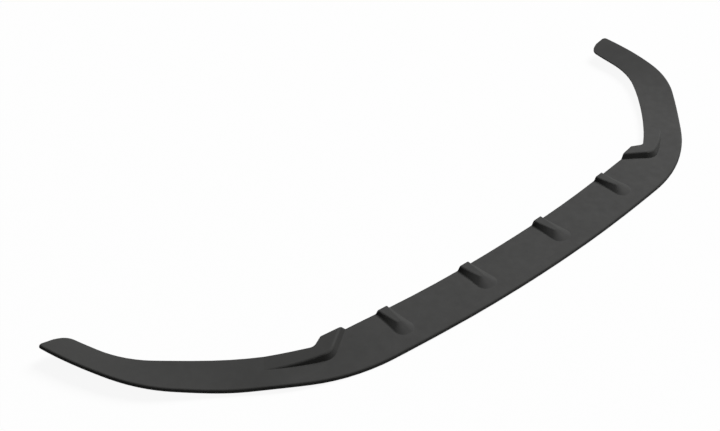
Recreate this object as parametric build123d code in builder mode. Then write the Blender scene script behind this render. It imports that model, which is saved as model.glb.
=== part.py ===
"""Front splitter lip for a car's bumper: one formed plastic sheet with its outer edge
turned down, four raised fins and two raised corner pads pressed out of the same sheet."""
import os
from math import atan2, degrees, radians, tan

from build123d import *

# The sheet and its turned-down outer edge.
sheet = 3.0
edge_drop = 6.0
roll_radius = 4.5

# The outer edge in plan: tangent arcs from the middle of the front to the tip.
front_depth = 107.0
front_radius = 3670.0
front_turn = 6.3
corner_radius = 434.0
corner_turn = 31.8
wing_radius = 1550.0
wing_turn = 6.72
tip_bend_radius = 242.0
tip_bend_turn = 27.8
tip_radius = 685.0
tip_turn = 13.85
tip_end_heading = 181.5
tip_outer_round = 9.0

# The rear edge and the inner edge of the wing in plan.
rear_radius = 4000.0
rear_half = 424.0
notch_x = 504.0
notch_y = 24.6
tab_run = 28.0
tab_x = notch_x - tab_run
tab_y = 35.4
tab_round = 5.0
notch_round = 16.0
inner_heading = 32.0
inner_radius = 1017.0
inner_turn = 16.5
inner_bend_radius = 203.0
inner_bend_turn = 30.0
inner_tip_length = 54.0
tip_inner_round = 26.0
tip_inner_turn = 60.0

# Height of the top face along the lip, from the middle of the rear edge:
# at the outer edge, and at the inner edge, which lies a band's width in from it.
level_front = (-14.0, -1.5, 107.0)
level_fins = (-14.0, -1.0, 107.0)
level_corner_start = (-14.0, 2.8, 104.0)
level_corner_middle = (-14.0, 0.0, 88.0)
level_wing_start = (-9.5, -3.0, 87.0)
level_wing_end = (-2.5, -2.0, 83.0)
level_bend_middle = (3.4, -1.6, 78.0)
level_bend_end = (8.0, -0.8, 68.0)
level_tip_middle = (11.5, 0.5, 62.0)
level_tip = (13.5, 3.5, 60.0)
overlap = 28.0
face_reach = 112.0

# Fins: a crest that narrows to the front, over a foot that widens to the front.
# Lengths run to the front from the rear edge; the foot lies a fin's depth below the face.
fin_inner_x = 113.0
fin_inner_level = 6.6
fin_outer_x = 333.0
fin_outer_level = 8.4
fins = [(fin_inner_x, fin_inner_level), (fin_outer_x, fin_outer_level)]
fin_fall = 0.11
fin_back = 10.0
crest_length = 48.0
crest_rear_half = 13.0
crest_nose_half = 4.6
crest_nose_round = 3.8
fin_depth = 7.0
foot_slope = 0.13
foot_length = 99.0
foot_rear_half = 19.5
foot_nose_half = 44.0
foot_nose_round = 30.0
fin_crest_round = 5.5
fin_foot_round = 4.5
fin_foot_reach = 48.0

# Corner pads: a sloping top and two steep sides that meet at a rounded knee.
knee_x = 493.0
knee_y = -18.0
knee_level = -8.0
knee_radius = 40.0
pad_inner_heading = 155.0
pad_inner_length = 160.0
pad_outer_heading = 21.0
pad_outer_radius = 400.0
pad_outer_turn = 36.0
pad_back = 80.0
pad_slope = 56.0
pad_depth = 6.0
pad_top_run = 64.0
pad_top_x = knee_x - pad_top_run
pad_top_z = 13.0
pad_fall_out = 0.110
pad_crest_round = 6.0
pad_height = 45.0

# Reach of the cutting forms above and below the lip.
cut_reach = 120.0
hollow_depth = 60.0


def outer_arcs():
    """The outer edge of the right half, from the middle to the tip, as five arcs."""
    front = JernArc((0, -front_depth), (1, 0), front_radius, front_turn)
    corner = JernArc(front @ 1, front % 1, corner_radius, corner_turn)
    wing = JernArc(corner @ 1, corner % 1, wing_radius, wing_turn)
    bend = JernArc(wing @ 1, wing % 1, tip_bend_radius, tip_bend_turn)
    tip = JernArc(bend @ 1, bend % 1, tip_radius, tip_turn)
    return front, corner, wing, bend, tip


def stations():
    """Places on the outer edge, the heading there, and the levels of the top face."""
    front, corner, wing, bend, tip = outer_arcs()
    past_tip = tip @ 1 + (tip % 1) * overlap
    gain = overlap / tip.length * 2
    outer_past = level_tip[0] + gain * (level_tip[0] - level_tip_middle[0])
    inner_past = level_tip[1] + gain * (level_tip[1] - level_tip_middle[1])
    return [
        (front @ 0, front % 0, level_front),
        (front @ 0.5, front % 0.5, level_fins),
        (front @ 1, front % 1, level_corner_start),
        (corner @ 0.5, corner % 0.5, level_corner_middle),
        (corner @ 1, corner % 1, level_wing_start),
        (wing @ 1, wing % 1, level_wing_end),
        (bend @ 0.5, bend % 0.5, level_bend_middle),
        (bend @ 1, bend % 1, level_bend_end),
        (tip @ 0.5, tip % 0.5, level_tip_middle),
        (tip @ 1, tip % 1, level_tip),
        (past_tip, tip % 1, (outer_past, inner_past, level_tip[2])),
    ]


def face_section(place, heading, levels, inset, thick):
    """One section of the sheet's form, upright and square to the outer edge."""
    outer_z, inner_z, band_width = levels
    slope = (inner_z - outer_z) / band_width
    high = outer_z + slope * face_reach - inset
    low = outer_z - slope * overlap - inset
    across = Plane(
        origin=(place.X, place.Y, 0),
        x_dir=(-heading.Y, heading.X, 0),
        z_dir=(heading.X, heading.Y, 0),
    )
    with BuildSketch(across) as section:
        with BuildLine():
            Polyline(
                (-overlap, low),
                (face_reach, high),
                (face_reach, high - thick),
                (-overlap, low - thick),
                close=True,
            )
        make_face()
    return section.sketch


def band(inset, thick):
    """The sheet's form as a wide band from tip to tip, before it is cut to its outline."""
    right = stations()
    sections = []
    for place, heading, levels in reversed(right[1:]):
        left_place = Vector(-place.X, place.Y, 0)
        left_heading = Vector(heading.X, -heading.Y, 0)
        sections.append(face_section(left_place, left_heading, levels, inset, thick))
    for place, heading, levels in right:
        sections.append(face_section(place, heading, levels, inset, thick))
    with BuildPart() as form:
        loft(sections)
    return form.part


def outer_outline(inset):
    """Plan of the outer edge and both tip ends, closed across the bay behind the lip."""
    with BuildSketch() as outline:
        with BuildLine():
            front, corner, wing, bend, tip = outer_arcs()
            end = PolarLine(tip @ 1, 2 * face_reach, tip_end_heading)
            Line(end @ 1, (0, (end @ 1).Y))
            mirror(about=Plane.YZ)
        make_face()
        tip_corners = outline.vertices().group_by(Axis.Y)[-1]
        fillet(tip_corners, tip_outer_round)
        if inset:
            offset(amount=-inset)
    return outline.sketch


def is_at(corner, x, y):
    """True for a corner of the plan at that place, on either side of the middle."""
    return (Vector(abs(corner.X), corner.Y) - Vector(x, y)).length < 0.01


def bay_outline():
    """Plan of all that is cut away behind the rear edge and inside the wings."""
    with BuildSketch() as bay:
        with BuildLine():
            rear = JernArc((0, 0), (1, 0), rear_radius, degrees(rear_half / rear_radius))
            Line(rear @ 1, (tab_x, tab_y))
            Line((tab_x, tab_y), (notch_x, notch_y))
            start = Vector(1, 0, 0).rotate(Axis.Z, inner_heading)
            inner = JernArc((notch_x, notch_y), start, inner_radius, inner_turn)
            bend = JernArc(inner @ 1, inner % 1, inner_bend_radius, inner_bend_turn)
            tip = Line(bend @ 1, bend @ 1 + (bend % 1) * inner_tip_length)
            turn = JernArc(tip @ 1, tip % 1, tip_inner_round, -tip_inner_turn)
            out = Line(turn @ 1, turn @ 1 + (turn % 1) * overlap)
            up = Line(out @ 1, out @ 1 + Vector(0, 2 * overlap, 0))
            Line(up @ 1, (0, (up @ 1).Y))
            mirror(about=Plane.YZ)
        make_face()
        corners = bay.vertices()
        fillet(corners.filter_by(lambda v: is_at(v, tab_x, tab_y)), tab_round)
        corners = bay.vertices()
        fillet(corners.filter_by(lambda v: is_at(v, notch_x, notch_y)), notch_round)
    return bay.sketch


def fin_face(plane, length, rear_half, nose_half, nose_round):
    """A fin's crest or foot, on a plane whose first direction runs to the front."""
    with BuildSketch(plane) as face:
        with BuildLine():
            Polyline(
                (-fin_back, rear_half),
                (length, nose_half),
                (length, -nose_half),
                (-fin_back, -rear_half),
                close=True,
            )
        make_face()
        fillet(face.vertices().group_by(Axis.X)[-1], nose_round)
    return face.sketch


def fin(x, level, inset):
    """One raised fin, square to the rear edge: crest and foot joined by sloping sides."""
    rear_y = rear_radius - (rear_radius ** 2 - x ** 2) ** 0.5
    square = degrees(x / rear_radius)
    crest_plane = Plane(
        origin=(x, rear_y, level - inset),
        x_dir=Vector(0, -1, -fin_fall).rotate(Axis.Z, square),
        z_dir=Vector(0, -fin_fall, 1).rotate(Axis.Z, square),
    )
    foot_plane = Plane(
        origin=(x, rear_y, -fin_depth - inset),
        x_dir=Vector(0, -1, -foot_slope).rotate(Axis.Z, square),
        z_dir=Vector(0, -foot_slope, 1).rotate(Axis.Z, square),
    )
    # A sloping side moves in by the sheet when its plan shrinks by the sheet times
    # the tangent of half its slope, and its height falls by the sheet.
    rear_rise = atan2(level + fin_depth, foot_rear_half - crest_rear_half)
    rear_step = inset * tan(rear_rise / 2)
    nose_rise = atan2(level + fin_depth, foot_length - crest_length)
    step = inset * tan(nose_rise / 2)
    crest = fin_face(
        crest_plane,
        crest_length - step,
        crest_rear_half - rear_step,
        crest_nose_half - step,
        crest_nose_round - step,
    )
    foot = fin_face(
        foot_plane,
        foot_length - step,
        foot_rear_half - rear_step,
        foot_nose_half - step,
        foot_nose_round - step,
    )
    with BuildPart() as body:
        loft([foot, crest], ruled=True)
        flat = body.faces().sort_by(Axis.Z)[-1]
        soft = flat.edges().sort_by(Axis.Y)[:-1]
        fillet(soft, fin_crest_round - inset)
    return body.part


def corner_pad(inset):
    """One raised corner pad: two steep sides, a rounded knee and a sloping top."""
    low = knee_level - pad_depth - inset
    step = inset * tan(radians(pad_slope / 2))
    grow = pad_depth / tan(radians(pad_slope)) - step
    top = Plane(
        origin=(pad_top_x, 0, pad_top_z - inset),
        z_dir=(pad_fall_out, 0, 1),
    )
    with BuildPart() as body:
        with BuildSketch(Plane.XY.offset(low)) as foot:
            with BuildLine():
                start = Vector(1, 0, 0).rotate(Axis.Z, pad_outer_heading)
                outer = JernArc((knee_x, knee_y), start, pad_outer_radius, pad_outer_turn)
                inner = PolarLine((knee_x, knee_y), pad_inner_length, pad_inner_heading)
                back = inner @ 1 + Vector(0, pad_back, 0)
                Line(outer @ 1, back)
                Line(back, inner @ 1)
            make_face()
            fillet(foot.vertices().sort_by(Axis.Y)[0], knee_radius)
            offset(amount=grow)
        extrude(amount=pad_height, taper=90 - pad_slope)
        split(bisect_by=top, keep=Keep.BOTTOM)
        flat = body.faces().sort_by(Axis.Z)[-1]
        soft = flat.edges().sort_by_distance((knee_x, knee_y, 0))[:3]
        fillet(soft, pad_crest_round - inset)
    return body.part


def is_fin_foot(edge):
    """True for an edge of the top face that runs round the foot of a fin."""
    place = edge @ 0.5
    near = min(abs(place.X - x) for x, level in fins)
    return near < fin_foot_reach and place.Y > 2 * roll_radius - front_depth


def half_form(inset, thick):
    """The right half's outer form, or the same form moved in by the sheet's thickness."""
    sheet_band = band(inset, thick)
    outline = outer_outline(inset)
    raised = [fin(x, level, inset) for x, level in fins]
    pad = corner_pad(inset)
    with BuildPart() as body:
        add(sheet_band)
        extrude(outline, amount=cut_reach, both=True, mode=Mode.INTERSECT)
        split(bisect_by=Plane.YZ, keep=Keep.TOP)
        top = body.faces().filter_by(lambda f: f.normal_at().Z > 0.9).sort_by(SortBy.AREA)[-1]
        in_half = top.edges().filter_by(lambda e: (e @ 0.5).X > 1)
        rim = in_half.sort_by(SortBy.LENGTH)[:-1]
        fillet(rim, roll_radius - inset)
        for raised_fin in raised:
            add(raised_fin)
        top = body.faces().filter_by(lambda f: f.normal_at().Z > 0.9).sort_by(SortBy.AREA)[-1]
        fillet(top.edges().filter_by(is_fin_foot), fin_foot_round + inset)
        add(pad)
    return body.part


skin = half_form(0, edge_drop)
hollow = half_form(sheet, hollow_depth)
bay = bay_outline()
with BuildPart() as formed:
    add(skin)
    extrude(bay, amount=cut_reach, both=True, mode=Mode.SUBTRACT)
    add(hollow, mode=Mode.SUBTRACT)
    mirror(about=Plane.YZ)
box = formed.part.bounding_box()

# The finished lip: the middle of its footprint at the origin, its lowest edge on z = 0.
with BuildPart() as splitter_lip:
    with Locations((0, -box.center().Y, -box.min.Z)):
        add(formed.part)

os.makedirs("parts", exist_ok=True)
splitter_lip.part.label = "splitter_lip"
export_step(splitter_lip.part, "parts/splitter_lip.step")
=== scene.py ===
# %% [markdown]
# A front splitter lip, dressed for a studio picture.
# The real object is one black plastic sheet, heated, drawn over a mould and trimmed,
# so it has one piece and one finish, and everything depends on how light runs over it.
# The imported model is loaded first. Its shape is right, so it stays as it is,
# and the steps below give it a surface, a floor, light and a camera.

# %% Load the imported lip
import math

import bpy
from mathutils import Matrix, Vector


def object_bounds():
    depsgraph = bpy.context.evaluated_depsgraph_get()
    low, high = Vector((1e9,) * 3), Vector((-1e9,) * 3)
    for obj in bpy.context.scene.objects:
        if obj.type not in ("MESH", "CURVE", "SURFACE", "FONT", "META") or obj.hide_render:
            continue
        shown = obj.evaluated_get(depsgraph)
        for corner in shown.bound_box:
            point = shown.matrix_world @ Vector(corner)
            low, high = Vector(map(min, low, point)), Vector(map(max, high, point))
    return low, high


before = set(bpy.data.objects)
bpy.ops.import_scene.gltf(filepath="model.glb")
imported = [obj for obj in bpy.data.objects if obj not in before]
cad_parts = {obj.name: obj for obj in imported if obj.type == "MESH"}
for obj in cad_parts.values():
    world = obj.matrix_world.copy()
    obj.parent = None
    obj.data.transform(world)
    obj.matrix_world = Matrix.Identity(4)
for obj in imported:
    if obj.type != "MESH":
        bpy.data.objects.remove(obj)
cad_low, cad_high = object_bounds()
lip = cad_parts["splitter_lip"]
lip_size = cad_high - cad_low
print(f"lip: {lip_size.x:.3f} x {lip_size.y:.3f} x {lip_size.z:.3f} m")

# %% [markdown]
# A colour is given as a hex value, as on a screen, but a shader counts light,
# so one function turns the hex value into linear numbers.
# A material is a small graph of nodes, which could be drawn by hand in the shader editor.
# In a script, one function that adds a node, sets it and links it keeps each graph readable.

# %% Colour and node helpers
def linear(hex_colour):
    """Turns an sRGB hex colour into the linear numbers that shaders use."""
    parts = [int(hex_colour[i:i + 2], 16) / 255 for i in (1, 3, 5)]
    curve = [p / 12.92 if p <= 0.04045 else ((p + 0.055) / 1.055) ** 2.4 for p in parts]
    return (*curve, 1.0)


def node(material, kind, links=None, **settings):
    """Adds one node, fills its sockets and settings, and links the sockets named in links."""
    tree = material.node_tree
    made = tree.nodes.new(kind)
    for name, value in settings.items():
        if name in made.inputs:
            made.inputs[name].default_value = value
        else:
            setattr(made, name, value)
    for socket, source in (links or {}).items():
        tree.links.new(source, made.inputs[socket])
    return made


def new_material(name):
    """Makes a material that has only an empty graph."""
    material = bpy.data.materials.new(name)
    material.use_nodes = True
    material.node_tree.nodes.clear()
    return material


print("mid grey, linear:", [round(c, 4) for c in linear("#808080")])

# %% [markdown]
# The finish is black ABS sheet, drawn over a mould with a fine grain.
# ABS is dyed right through, so its black is a very dark, slightly warm grey and not paint.
# The eye sees a dull, even sheen that softens every reflection, a little cloudier in some places,
# because the sheet stretches unevenly as it is drawn.
# Image textures could show this, but they would need a flat map of the lip.
# Noise on Object coordinates needs none, and gives the cloud, the uneven sheen and the grain.
# A scale is one over a real size, so each pattern below is named by its millimetres.

# %% Patterns of the sheet
MM = 0.001
CLOUD_SIZE = 60 * MM
SHEEN_SIZE = 18 * MM
# The real grain is about half a millimetre, too fine to show from here, so it is drawn at 3 mm.
GRAIN_SIZE = 3.0 * MM
GRAIN_DEPTH = 0.08 * MM

abs_sheet = new_material("black_abs_sheet_fine_grain")
place = node(abs_sheet, "ShaderNodeTexCoord").outputs["Object"]
cloud = node(abs_sheet, "ShaderNodeTexNoise", {"Vector": place}, Scale=1 / CLOUD_SIZE, Detail=3.0)
sheen = node(abs_sheet, "ShaderNodeTexNoise", {"Vector": place}, Scale=1 / SHEEN_SIZE, Detail=2.0)
grain = node(abs_sheet, "ShaderNodeTexNoise", {"Vector": place}, Scale=1 / GRAIN_SIZE, Detail=2.0)
print(f"patterns per metre: {1 / CLOUD_SIZE:.0f}, {1 / SHEEN_SIZE:.0f}, {1 / GRAIN_SIZE:.0f}")

# %% [markdown]
# The three patterns now drive the tint, the roughness and the relief of one plastic shader.
# A grained sheet scatters most of the mirror-like light, so the roughness is high
# and the level of that light is set below a smooth sheet's.

# %% Black ABS sheet
DARK_TINT = "#343433"
PALE_TINT = "#383837"
ROUGH_LEAST = 0.74
ROUGH_MOST = 0.84
ABS_IOR = 1.53
MIRROR_LEVEL = 0.28

tint = node(abs_sheet, "ShaderNodeMix", {"Factor": cloud.outputs["Fac"]}, data_type="RGBA")
tint.inputs["A"].default_value = linear(DARK_TINT)
tint.inputs["B"].default_value = linear(PALE_TINT)
rough = node(abs_sheet, "ShaderNodeMapRange", {"Value": sheen.outputs["Fac"]})
rough.inputs["To Min"].default_value = ROUGH_LEAST
rough.inputs["To Max"].default_value = ROUGH_MOST
relief = node(abs_sheet, "ShaderNodeBump", {"Height": grain.outputs["Fac"]}, Distance=GRAIN_DEPTH)
surface = {
    "Base Color": tint.outputs["Result"],
    "Roughness": rough.outputs["Result"],
    "Normal": relief.outputs["Normal"],
}
plastic = node(abs_sheet, "ShaderNodeBsdfPrincipled", surface, IOR=ABS_IOR)
plastic.inputs["Specular IOR Level"].default_value = MIRROR_LEVEL
node(abs_sheet, "ShaderNodeOutputMaterial", {"Surface": plastic.outputs["BSDF"]})
lip.data.materials.clear()
lip.data.materials.append(abs_sheet)
print("finish:", abs_sheet.name, "with", len(abs_sheet.node_tree.nodes), "nodes")

# %% [markdown]
# The floor is a large matt card under the lip, as in a photo studio.
# The picture's background is white, and more light would bleach the lip too.
# So what the camera, mirror-like and clear surfaces see of the card is mixed with a white glow,
# and the rest of it still takes the lip's soft shadow.
# Light that bounces from the card to the lip meets a mid grey, which keeps the flanks dark.

# %% White floor card
SEEN_WHITE = "#ffffff"
BOUNCE_GREY = "#8c8c8c"
FLOOR_LIFT = 0.92

card = new_material("white_floor_card")
rays = node(card, "ShaderNodeLightPath").outputs
paint = node(card, "ShaderNodeMix", {"Factor": rays["Is Camera Ray"]}, data_type="RGBA")
paint.inputs["A"].default_value = linear(BOUNCE_GREY)
paint.inputs["B"].default_value = linear(SEEN_WHITE)
matt = node(card, "ShaderNodeBsdfDiffuse", {"Color": paint.outputs["Result"]}).outputs[0]
glow = node(card, "ShaderNodeEmission", Strength=1.0).outputs[0]
seen = rays["Is Camera Ray"]
for other in (rays["Is Glossy Ray"], rays["Is Transmission Ray"]):
    seen = node(card, "ShaderNodeMath", {0: seen, 1: other}, operation="MAXIMUM").outputs[0]
lift = node(card, "ShaderNodeMath", {0: seen}, operation="MULTIPLY")
lift.inputs[1].default_value = FLOOR_LIFT
blend = node(card, "ShaderNodeMixShader", {0: lift.outputs[0], 1: matt, 2: glow})
node(card, "ShaderNodeOutputMaterial", {"Surface": blend.outputs[0]})
print("floor finish:", card.name)

# %% [markdown]
# The card itself is a primitive plane, because nothing of it is part of the object.
# It lies a hair below the lip, so that the two never share a surface.

# %% Studio floor
FLOOR_SIDE = 24.0
FLOOR_GAP = 0.3 * MM

bpy.ops.object.select_all(action="DESELECT")
bpy.ops.mesh.primitive_plane_add(size=FLOOR_SIDE, location=(0, 0, cad_low.z - FLOOR_GAP))
floor = bpy.context.object
floor.name = "studio_floor"
floor.data.materials.append(card)
print("floor at", round(floor.location.z, 4))

# %% [markdown]
# The picture was lit from one side: the flat of the lip is an even charcoal,
# and the flanks of the fins that face the camera's left fall almost to black.
# So one very large soft box stands off the lip's right end, about 40 degrees up.
# It is far away, so that its light is about as strong at the left end as at the right.
# A weak grey world fills the shadows.
# Together they come to about one, at which a colour renders as it is written.

# %% Soft box
KEY_FROM = Vector((0.75, 0.11, 0.71)).normalized()
KEY_AWAY = 60.0
KEY_SIZE = 30.0
KEY_SHARE = 0.85

key_data = bpy.data.lights.new("key_soft_box", "AREA")
key_data.shape = "SQUARE"
key_data.size = KEY_SIZE
# A level white sheet under a lamp this far away then sends back KEY_SHARE of full white.
key_data.energy = KEY_SHARE * math.pi ** 2 * KEY_AWAY ** 2 / KEY_FROM.z
key = bpy.data.objects.new("key_soft_box", key_data)
key.location = KEY_FROM * KEY_AWAY
key.rotation_euler = (-key.location).to_track_quat("-Z", "Y").to_euler()
bpy.context.scene.collection.objects.link(key)
print(f"key light: {key_data.energy:.0f} W, {math.degrees(math.asin(KEY_FROM.z)):.0f} degrees up")

# %% Fill
FILL_SHARE = 0.08

world = bpy.data.worlds.new("plain_studio")
world.use_nodes = True
sky = world.node_tree.nodes["Background"]
sky.inputs["Color"].default_value = (1.0, 1.0, 1.0, 1.0)
sky.inputs["Strength"].default_value = FILL_SHARE
bpy.context.scene.world = world
print("light in all:", round(KEY_SHARE + FILL_SHARE, 2))

# %% [markdown]
# The camera stands high at the lip's left front, with a long lens.
# Its place was worked out from the lip's mirror symmetry,
# because a point on the left half and its twin on the right fix the view between them.

# %% Camera
CAMERA_AT = Vector((-2.4357, -2.0426, 2.0093))
AIM_AT = Vector((-0.0910, 0.1579, 0.0))
LENS = 93.0
SENSOR = 36.0

camera_data = bpy.data.cameras.new("camera")
camera_data.lens = LENS
camera_data.sensor_width = SENSOR
camera_data.sensor_fit = "HORIZONTAL"
camera = bpy.data.objects.new("camera", camera_data)
camera.location = CAMERA_AT
camera.rotation_euler = (AIM_AT - CAMERA_AT).to_track_quat("-Z", "Y").to_euler()
bpy.context.scene.collection.objects.link(camera)
bpy.context.scene.camera = camera
bpy.context.scene.view_settings.view_transform = "Standard"
print("camera at", [round(c, 3) for c in camera.location])
